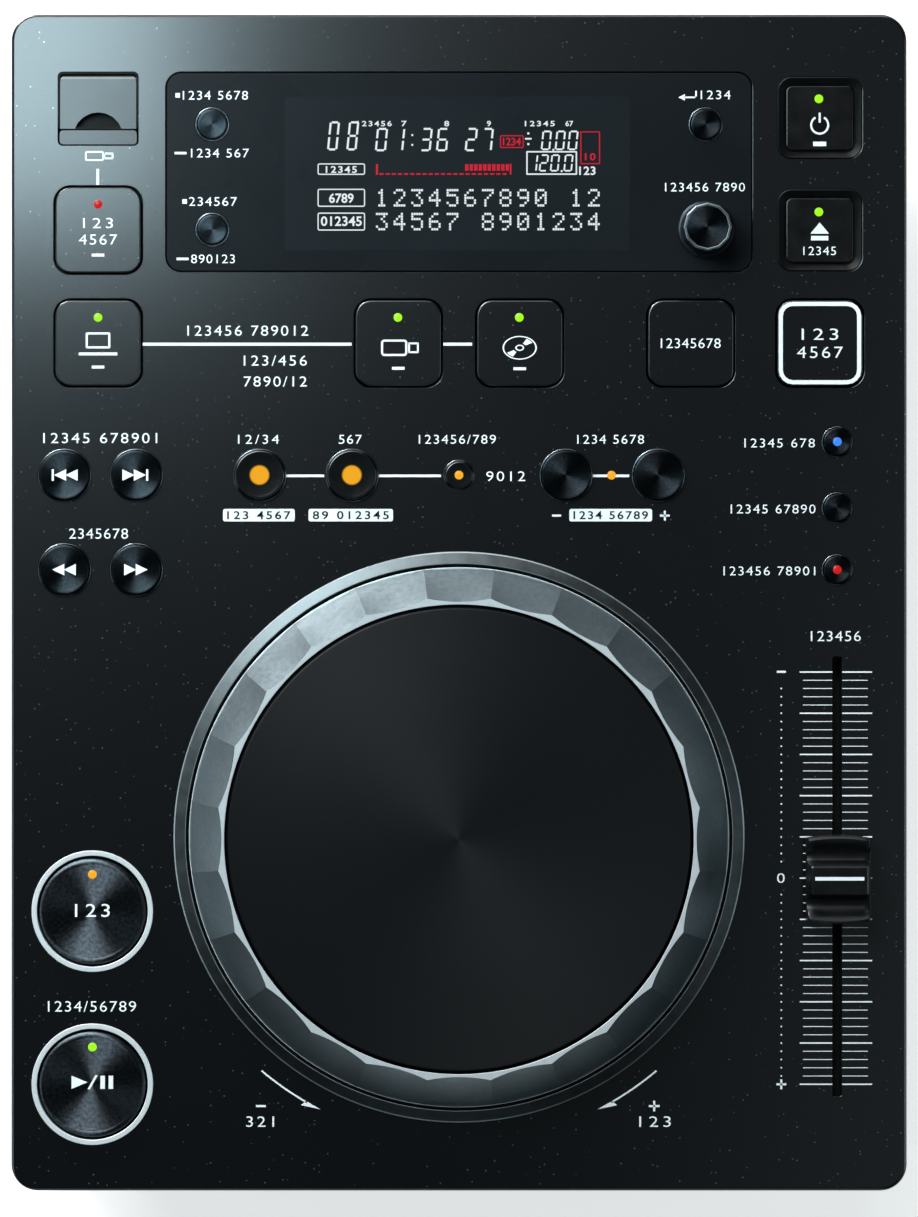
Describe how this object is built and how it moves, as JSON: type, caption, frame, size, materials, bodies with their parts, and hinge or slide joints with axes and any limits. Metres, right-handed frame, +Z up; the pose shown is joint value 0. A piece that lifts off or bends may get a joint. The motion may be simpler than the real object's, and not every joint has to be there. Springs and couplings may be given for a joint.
{
  "type": "tabletop dj disc player",
  "caption": "Tabletop disc player for mixing: black deck with a scalloped jog wheel, tempo fader, display, round and square keys, and a slot-loading disc drive in the front",
  "frame": {"origin": "on the table, under the middle of the body", "axes": "+X right as the user faces it, +Y to the rear where the plugs go in, +Z up"},
  "size_m": [0.2186, 0.287, 0.1075],
  "materials": {
    "deck_paint": "moulded plastic, satin black paint with fine metallic flake",
    "case_steel": "folded steel, black powder coat",
    "panel_plastic": "moulded black plastic, fine grain",
    "foot_rubber": "moulded rubber",
    "smoked_sheet": "smoked acrylic sheet",
    "display_glass": "display glass in a black holder",
    "circuit_board": "glass fibre board, green solder mask",
    "drive_steel": "folded and plated steel",
    "rail_steel": "ground and plated steel",
    "jog_paint": "moulded plastic, satin silver-grey metallic paint",
    "jog_plate_metal": "spun aluminium, dark anodised",
    "socket_plastic": "moulded black plastic",
    "ring_lens": "milky light-guide plastic",
    "roller_rubber": "ground rubber on a steel axle",
    "drive_plastic": "moulded black plastic",
    "cap_plastic": "moulded black plastic, fine grain",
    "knob_plastic": "moulded black plastic, satin",
    "cue_cap_metal": "radially brushed, dark anodised",
    "key_plastic": "moulded black plastic, satin"
  },
  "bodies": {
    "body": {"top_case": "deck_paint", "bottom_case": "case_steel", "front_panel": "panel_plastic", "rear_panel": "panel_plastic", "foot_front_left": "foot_rubber", "foot_front_right": "foot_rubber", "foot_rear_left": "foot_rubber", "foot_rear_right": "foot_rubber", "display_panel": "smoked_sheet", "display_module": "display_glass", "key_board": "circuit_board", "main_board": "circuit_board", "power_board": "circuit_board", "drive_chassis": "drive_steel", "spindle_motor": "drive_steel", "pickup_rail": "rail_steel", "jog_bearing": "rail_steel", "jog_bezel": "jog_paint", "fader_body": "drive_steel", "usb_socket": "rail_steel", "encoder_body": "drive_steel", "audio_jacks": "socket_plastic", "mains_inlet": "socket_plastic", "cue_light_ring": "ring_lens", "play_light_ring": "ring_lens"},
    "usb_stop_button": {"usb_stop_button": "key_plastic"},
    "power_button": {"power_button": "key_plastic"},
    "eject_button": {"eject_button": "key_plastic"},
    "link_source_button": {"link_source_button": "key_plastic"},
    "usb_source_button": {"usb_source_button": "key_plastic"},
    "disc_source_button": {"disc_source_button": "key_plastic"},
    "playlist_button": {"playlist_button": "key_plastic"},
    "tempo_lock_button": {"tempo_lock_button": "key_plastic"},
    "time_mode_button": {"time_mode_button": "key_plastic"},
    "display_mode_button": {"display_mode_button": "key_plastic"},
    "back_button": {"back_button": "key_plastic"},
    "track_back_button": {"track_back_button": "key_plastic"},
    "track_forward_button": {"track_forward_button": "key_plastic"},
    "search_back_button": {"search_back_button": "key_plastic"},
    "search_forward_button": {"search_forward_button": "key_plastic"},
    "loop_in_button": {"loop_in_button": "key_plastic"},
    "loop_out_button": {"loop_out_button": "key_plastic"},
    "reloop_button": {"reloop_button": "key_plastic"},
    "beat_down_button": {"beat_down_button": "key_plastic"},
    "beat_up_button": {"beat_up_button": "key_plastic"},
    "vinyl_mode_button": {"vinyl_mode_button": "key_plastic"},
    "tempo_range_button": {"tempo_range_button": "key_plastic"},
    "master_tempo_button": {"master_tempo_button": "key_plastic"},
    "cue_button": {"cue_button": "cue_cap_metal"},
    "play_button": {"play_button": "cue_cap_metal"},
    "jog_wheel": {"jog_ring": "jog_paint"},
    "jog_top": {"jog_plate": "jog_plate_metal"},
    "fader_cap": {"fader_cap": "cap_plastic"},
    "usb_lid": {"usb_lid": "deck_paint"},
    "select_push": {"encoder_shaft": "rail_steel"},
    "select_turn": {"select_knob": "knob_plastic"},
    "loading_roller": {"loading_roller": "roller_rubber"},
    "disc_turntable": {"disc_turntable": "drive_plastic"},
    "optical_pickup": {"optical_pickup": "drive_plastic"},
    "lead_screw": {"lead_screw": "rail_steel"}
  },
  "joints": [
    {"name": "usb_stop_press", "type": "slide", "parent": "body", "child": "usb_stop_button", "axis": [0, 0, -1], "range_m": [0, 0.001], "stiffness_N_per_m": 200, "springref_m": -0.002},
    {"name": "power_press", "type": "slide", "parent": "body", "child": "power_button", "axis": [0, 0, -1], "range_m": [0, 0.001], "stiffness_N_per_m": 200, "springref_m": -0.002},
    {"name": "eject_press", "type": "slide", "parent": "body", "child": "eject_button", "axis": [0, 0, -1], "range_m": [0, 0.001], "stiffness_N_per_m": 200, "springref_m": -0.002},
    {"name": "link_source_press", "type": "slide", "parent": "body", "child": "link_source_button", "axis": [0, 0, -1], "range_m": [0, 0.001], "stiffness_N_per_m": 200, "springref_m": -0.002},
    {"name": "usb_source_press", "type": "slide", "parent": "body", "child": "usb_source_button", "axis": [0, 0, -1], "range_m": [0, 0.001], "stiffness_N_per_m": 200, "springref_m": -0.002},
    {"name": "disc_source_press", "type": "slide", "parent": "body", "child": "disc_source_button", "axis": [0, 0, -1], "range_m": [0, 0.001], "stiffness_N_per_m": 200, "springref_m": -0.002},
    {"name": "playlist_press", "type": "slide", "parent": "body", "child": "playlist_button", "axis": [0, 0, -1], "range_m": [0, 0.001], "stiffness_N_per_m": 200, "springref_m": -0.002},
    {"name": "tempo_lock_press", "type": "slide", "parent": "body", "child": "tempo_lock_button", "axis": [0, 0, -1], "range_m": [0, 0.001], "stiffness_N_per_m": 200, "springref_m": -0.002},
    {"name": "time_mode_press", "type": "slide", "parent": "body", "child": "time_mode_button", "axis": [0, 0, -1], "range_m": [0, 0.001], "stiffness_N_per_m": 200, "springref_m": -0.002},
    {"name": "display_mode_press", "type": "slide", "parent": "body", "child": "display_mode_button", "axis": [0, 0, -1], "range_m": [0, 0.001], "stiffness_N_per_m": 200, "springref_m": -0.002},
    {"name": "back_press", "type": "slide", "parent": "body", "child": "back_button", "axis": [0, 0, -1], "range_m": [0, 0.001], "stiffness_N_per_m": 200, "springref_m": -0.002},
    {"name": "track_back_press", "type": "slide", "parent": "body", "child": "track_back_button", "axis": [0, 0, -1], "range_m": [0, 0.001], "stiffness_N_per_m": 200, "springref_m": -0.002},
    {"name": "track_forward_press", "type": "slide", "parent": "body", "child": "track_forward_button", "axis": [0, 0, -1], "range_m": [0, 0.001], "stiffness_N_per_m": 200, "springref_m": -0.002},
    {"name": "search_back_press", "type": "slide", "parent": "body", "child": "search_back_button", "axis": [0, 0, -1], "range_m": [0, 0.001], "stiffness_N_per_m": 200, "springref_m": -0.002},
    {"name": "search_forward_press", "type": "slide", "parent": "body", "child": "search_forward_button", "axis": [0, 0, -1], "range_m": [0, 0.001], "stiffness_N_per_m": 200, "springref_m": -0.002},
    {"name": "loop_in_press", "type": "slide", "parent": "body", "child": "loop_in_button", "axis": [0, 0, -1], "range_m": [0, 0.001], "stiffness_N_per_m": 200, "springref_m": -0.002},
    {"name": "loop_out_press", "type": "slide", "parent": "body", "child": "loop_out_button", "axis": [0, 0, -1], "range_m": [0, 0.001], "stiffness_N_per_m": 200, "springref_m": -0.002},
    {"name": "reloop_press", "type": "slide", "parent": "body", "child": "reloop_button", "axis": [0, 0, -1], "range_m": [0, 0.001], "stiffness_N_per_m": 200, "springref_m": -0.002},
    {"name": "beat_down_press", "type": "slide", "parent": "body", "child": "beat_down_button", "axis": [0, 0, -1], "range_m": [0, 0.001], "stiffness_N_per_m": 200, "springref_m": -0.002},
    {"name": "beat_up_press", "type": "slide", "parent": "body", "child": "beat_up_button", "axis": [0, 0, -1], "range_m": [0, 0.001], "stiffness_N_per_m": 200, "springref_m": -0.002},
    {"name": "vinyl_mode_press", "type": "slide", "parent": "body", "child": "vinyl_mode_button", "axis": [0, 0, -1], "range_m": [0, 0.001], "stiffness_N_per_m": 200, "springref_m": -0.002},
    {"name": "tempo_range_press", "type": "slide", "parent": "body", "child": "tempo_range_button", "axis": [0, 0, -1], "range_m": [0, 0.001], "stiffness_N_per_m": 200, "springref_m": -0.002},
    {"name": "master_tempo_press", "type": "slide", "parent": "body", "child": "master_tempo_button", "axis": [0, 0, -1], "range_m": [0, 0.001], "stiffness_N_per_m": 200, "springref_m": -0.002},
    {"name": "cue_press", "type": "slide", "parent": "body", "child": "cue_button", "axis": [0, 0, -1], "range_m": [0, 0.0012], "stiffness_N_per_m": 300, "springref_m": -0.002},
    {"name": "play_press", "type": "slide", "parent": "body", "child": "play_button", "axis": [0, 0, -1], "range_m": [0, 0.0012], "stiffness_N_per_m": 300, "springref_m": -0.002},
    {"name": "jog_turn", "type": "hinge", "parent": "body", "child": "jog_wheel", "pos_m": [0, -0.0572, 0.1], "axis": [0, 0, 1], "continuous": true},
    {"name": "jog_top_press", "type": "slide", "parent": "jog_wheel", "child": "jog_top", "axis": [0, 0, -1], "range_m": [0, 0.0005], "stiffness_N_per_m": 3000, "springref_m": -0.001},
    {"name": "tempo_slide", "type": "slide", "parent": "body", "child": "fader_cap", "axis": [0, 1, 0], "range_m": [-0.05, 0.05]},
    {"name": "usb_lid_hinge", "type": "hinge", "parent": "body", "child": "usb_lid", "pos_m": [-0.088, 0.12775, 0.0909], "axis": [-1, 0, 0], "range_deg": [0, 100]},
    {"name": "select_knob_press", "type": "slide", "parent": "body", "child": "select_push", "axis": [0, 0, -1], "range_m": [0, 0.0007], "stiffness_N_per_m": 600, "springref_m": -0.002},
    {"name": "select_knob_turn", "type": "hinge", "parent": "select_push", "child": "select_turn", "pos_m": [0.06015, 0.0909, 0.1], "axis": [0, 0, 1], "continuous": true},
    {"name": "roller_turn", "type": "hinge", "parent": "body", "child": "loading_roller", "pos_m": [0, -0.1245, 0.0239], "axis": [1, 0, 0], "continuous": true},
    {"name": "disc_turn", "type": "hinge", "parent": "body", "child": "disc_turntable", "pos_m": [0, -0.0565, 0.02], "axis": [0, 0, 1], "continuous": true},
    {"name": "pickup_slide", "type": "slide", "parent": "body", "child": "optical_pickup", "axis": [0, 1, 0], "range_m": [0, 0.035]},
    {"name": "lead_screw_turn", "type": "hinge", "parent": "body", "child": "lead_screw", "pos_m": [0.021, -0.0565, 0.018], "axis": [0, 1, 0], "continuous": true}
  ],
  "couplings": [
    {"joint": "lead_screw_turn", "follows": "pickup_slide", "rad_per_m": 2094.4}
  ]
}
